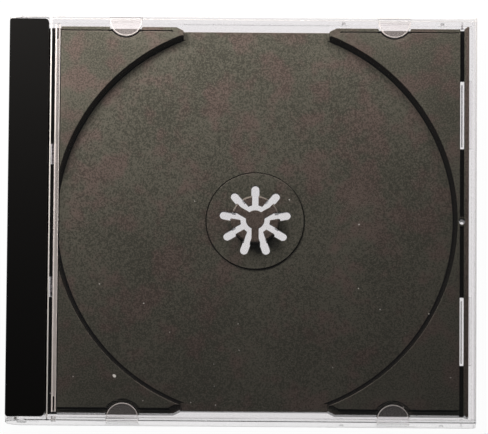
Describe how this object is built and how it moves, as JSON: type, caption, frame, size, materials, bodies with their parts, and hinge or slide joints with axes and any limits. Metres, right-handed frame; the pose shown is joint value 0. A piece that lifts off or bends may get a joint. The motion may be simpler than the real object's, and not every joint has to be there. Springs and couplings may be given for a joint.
{
  "type": "cd jewel case",
  "caption": "Clear hinged case for a disc: a back shell, a black tray with a toothed hub that snaps into it, and a lid on two pins.",
  "frame": {"origin": "on the table under the middle of the closed case, which lies on its back", "axes": "+X from the hinge side to the opening side, +Y to the top edge, +Z out of the front panel"},
  "size_m": [0.142, 0.125, 0.0101],
  "materials": {
    "clear_back": "clear, polished polystyrene",
    "black_tray": "fine satin, black polystyrene",
    "clear_lid": "clear, polished polystyrene"
  },
  "bodies": {
    "base_body": {"back_shell": "clear_back", "disc_tray": "black_tray"},
    "lid_body": {"lid": "clear_lid"}
  },
  "joints": [
    {"name": "lid_hinge", "type": "hinge", "parent": "base_body", "child": "lid_body", "pos_m": [-0.066, 0, 0.0051], "axis": [0, -1, 0], "range_deg": [0, 180]}
  ]
}
